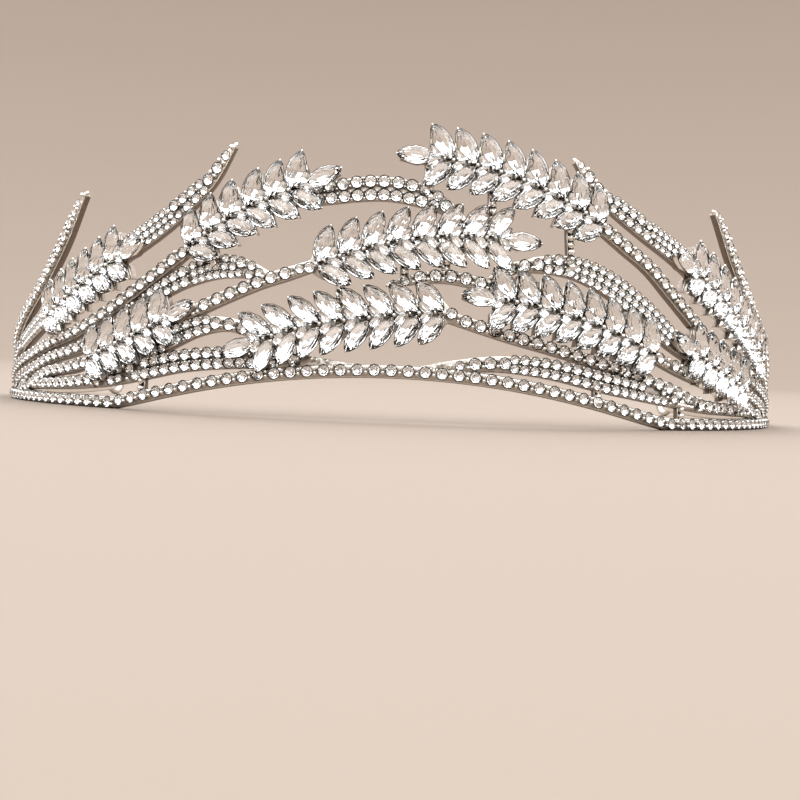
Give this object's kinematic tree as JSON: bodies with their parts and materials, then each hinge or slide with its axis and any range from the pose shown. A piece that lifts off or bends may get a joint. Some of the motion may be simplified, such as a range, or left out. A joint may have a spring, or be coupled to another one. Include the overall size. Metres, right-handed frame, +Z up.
{
  "type": "leaf tiara",
  "caption": "Bridal tiara: an open, pierced metal band of vines bent round the head, with leafy ears of navette stones and rows of round stones.",
  "frame": {"origin": "on the floor under the middle of the tiara's bounding box, as it stands on its rim", "axes": "+Z up, -Y out of the front over the forehead, +Y out of the open back, +X towards the right as seen from the front"},
  "size_m": [0.1572, 0.1234, 0.0525],
  "materials": {
    "cast_metal": "polished rhodium-plated zinc alloy",
    "round_glass": "cut, foil-backed glass",
    "navette_glass": "cut, foil-backed glass"
  },
  "bodies": {
    "root": {"frame": "cast_metal", "rim_stones": "round_glass", "ear_a": "navette_glass", "ear_b": "navette_glass", "ear_c": "navette_glass", "ear_d": "navette_glass", "ear_e": "navette_glass", "ear_f": "navette_glass", "ear_g": "navette_glass", "ear_h": "navette_glass", "ear_i": "navette_glass"}
  },
  "joints": []
}
